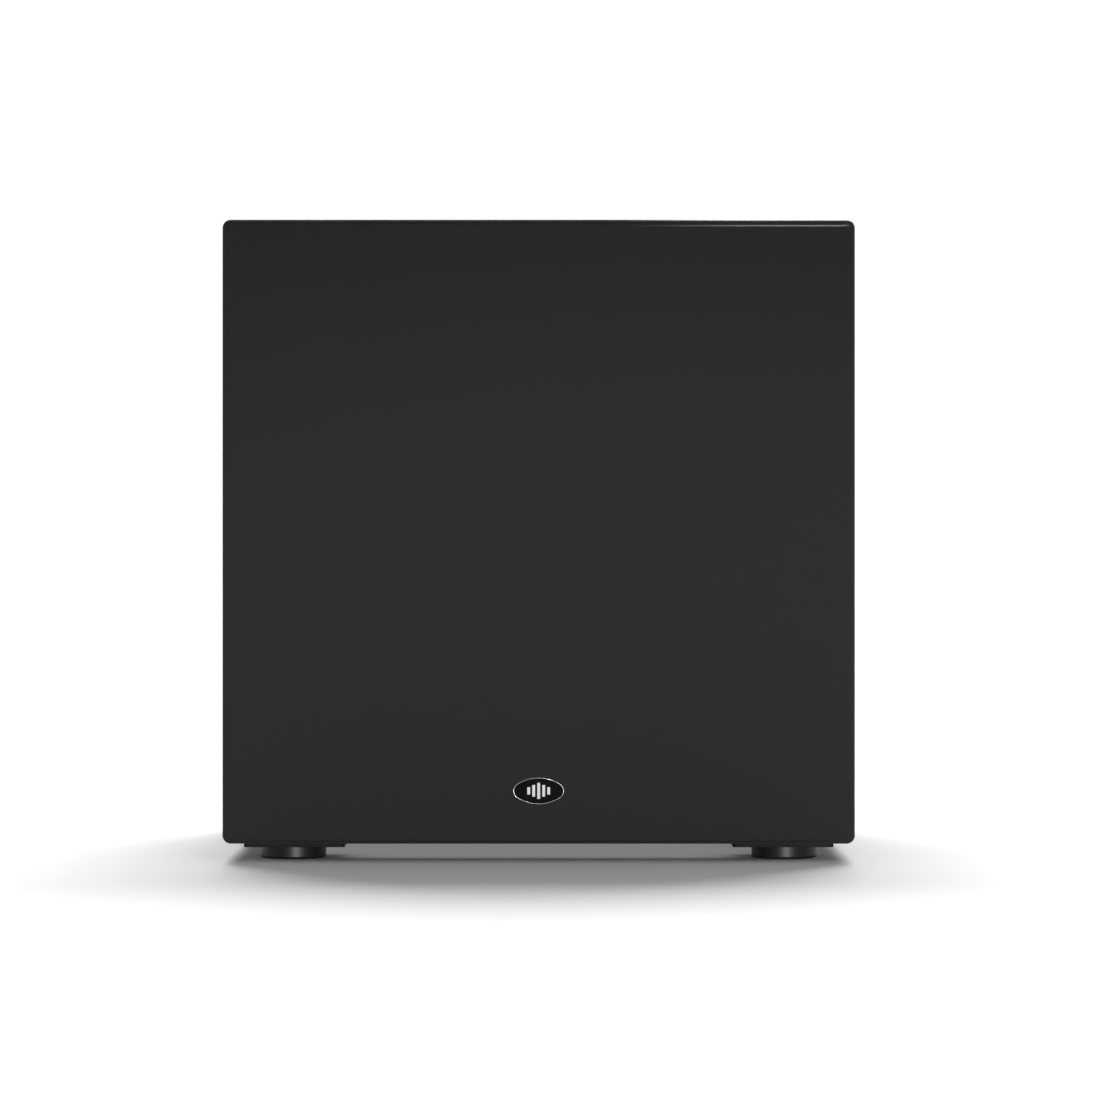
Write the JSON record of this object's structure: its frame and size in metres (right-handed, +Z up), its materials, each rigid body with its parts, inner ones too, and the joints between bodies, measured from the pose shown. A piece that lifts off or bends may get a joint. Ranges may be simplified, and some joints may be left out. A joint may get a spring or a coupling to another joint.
{
  "type": "subwoofer",
  "caption": "Powered bass loudspeaker cube with a pull-off cloth grille, a front woofer, a rear bass port, a rear plate amplifier and rubber feet.",
  "frame": {"origin": "on the floor under the middle of the whole object", "axes": "+Z up, -Y towards the listener out of the grille, +X to the right seen from the front"},
  "size_m": [0.38, 0.4072, 0.3865],
  "materials": {
    "cabinet_finish": "black ash-grain wrap over fibreboard",
    "baffle_board": "matt black painted fibreboard",
    "bare_board": "bare fibreboard",
    "wadding": "loose polyester wadding",
    "grille_board": "black stained fibreboard",
    "grille_knit": "fine black knit",
    "nylon_black": "moulded nylon",
    "soft_rubber": "matt rubber",
    "badge_chrome": "polished plated rim",
    "badge_gloss": "gloss black with a printed mark",
    "basket_coat": "textured powder coat on steel",
    "trim_plastic": "fine grained moulding",
    "surround_rubber": "smooth butyl rubber",
    "cone_paper": "pressed pulp with a sealing coat",
    "dust_cap_coat": "pressed pulp with a sealing coat",
    "former_film": "amber film on paper",
    "coil_copper": "enamelled copper wire",
    "spider_cloth": "resin-dipped cotton",
    "plated_steel": "zinc-plated steel",
    "ferrite": "sintered ferrite",
    "blade_brass": "tinned brass on fibre board",
    "braid_copper": "tinsel braid",
    "black_screw": "black oxide",
    "port_plastic": "satin moulding",
    "port_card": "black wound card",
    "foot_rubber": "semi-gloss rubber",
    "foot_plate_coat": "black painted steel",
    "amp_plate_coat": "textured powder coat on aluminium",
    "gasket_foam": "closed-cell foam",
    "cover_steel": "galvanised sheet",
    "fin_aluminium": "extruded aluminium",
    "knob_plastic": "satin moulding",
    "pot_metal": "plated steel",
    "slider_plastic": "white nylon",
    "jack_gold": "gold-plated brass",
    "jack_insulator": "coloured nylon",
    "led_lens": "tinted clear lens",
    "rocker_plastic": "semi-gloss moulding",
    "inlet_plastic": "matt thermoset",
    "pin_nickel": "nickel-plated brass",
    "fuse_glass": "glass tube with plated caps",
    "board_green": "solder mask on laminate",
    "winding_tape": "polyester tape over copper",
    "cap_sleeve": "shrunk sleeve",
    "wire_red": "PVC insulation"
  },
  "bodies": {
    "cabinet": {"top_board": "cabinet_finish", "bottom_board": "cabinet_finish", "left_board": "cabinet_finish", "right_board": "cabinet_finish", "rear_board": "cabinet_finish", "front_baffle": "baffle_board", "window_brace": "bare_board", "wadding_mats": "wadding", "peg_cups": "soft_rubber", "woofer_basket": "basket_coat", "woofer_trim_ring": "trim_plastic", "surround": "surround_rubber", "spider": "spider_cloth", "top_plate": "plated_steel", "magnet_ring": "ferrite", "pole_yoke": "plated_steel", "woofer_terminals": "blade_brass", "tinsel_leads": "braid_copper", "woofer_screws": "black_screw", "threaded_inserts": "plated_steel", "port_flare": "port_plastic", "port_tube": "port_card", "port_inner_flare": "port_plastic", "port_screws": "black_screw", "rubber_feet": "foot_rubber", "foot_plates": "foot_plate_coat", "foot_screws": "plated_steel", "amp_plate": "amp_plate_coat", "amp_gasket": "gasket_foam", "amp_screws": "black_screw", "amp_cover": "cover_steel", "heatsink": "fin_aluminium", "control_pots": "pot_metal", "slide_switches": "pot_metal", "rca_shells": "jack_gold", "rca_insulators": "jack_insulator", "status_led": "led_lens", "rocker_housing": "inlet_plastic", "iec_inlet": "inlet_plastic", "iec_pins": "pin_nickel", "circuit_boards": "board_green", "transformer": "winding_tape", "capacitors": "cap_sleeve", "internal_wiring": "wire_red"},
    "grille": {"grille_frame": "grille_board", "grille_cloth": "grille_knit", "grille_pegs": "nylon_black", "badge_bezel": "badge_chrome", "badge_plate": "badge_gloss"},
    "cone_unit": {"cone": "cone_paper", "dust_cap": "dust_cap_coat", "coil_former": "former_film", "voice_coil": "coil_copper"},
    "level_control": {"level_knob": "knob_plastic"},
    "crossover_control": {"crossover_knob": "knob_plastic"},
    "phase_control": {"phase_slider": "slider_plastic"},
    "mode_control": {"mode_slider": "slider_plastic"},
    "rocker": {"power_rocker": "rocker_plastic"},
    "drawer": {"fuse_drawer": "inlet_plastic", "mains_fuse": "fuse_glass"}
  },
  "joints": [
    {"name": "grille_pull", "type": "slide", "parent": "cabinet", "child": "grille", "axis": [0, -1, 0], "range_m": [0, 0.12]},
    {"name": "cone_travel", "type": "slide", "parent": "cabinet", "child": "cone_unit", "axis": [0, -1, 0], "range_m": [-0.009, 0.009], "stiffness_N_per_m": 4500, "deforming": ["surround", "spider", "tinsel_leads"]},
    {"name": "level_turn", "type": "hinge", "parent": "cabinet", "child": "level_control", "pos_m": [0.08, 0.19, 0.198], "axis": [0, 1, 0], "range_deg": [-150, 150]},
    {"name": "crossover_turn", "type": "hinge", "parent": "cabinet", "child": "crossover_control", "pos_m": [0.03, 0.19, 0.198], "axis": [0, 1, 0], "range_deg": [-150, 150]},
    {"name": "phase_slide", "type": "slide", "parent": "cabinet", "child": "phase_control", "axis": [-1, 0, 0], "range_m": [0, 0.004]},
    {"name": "mode_slide", "type": "slide", "parent": "cabinet", "child": "mode_control", "axis": [-1, 0, 0], "range_m": [-0.003, 0.003]},
    {"name": "rocker_tilt", "type": "hinge", "parent": "cabinet", "child": "rocker", "pos_m": [0.08, 0.188, 0.076], "axis": [1, 0, 0], "range_deg": [0, 18]},
    {"name": "fuse_drawer_pull", "type": "slide", "parent": "cabinet", "child": "drawer", "axis": [0, 1, 0], "range_m": [0, 0.022]}
  ]
}
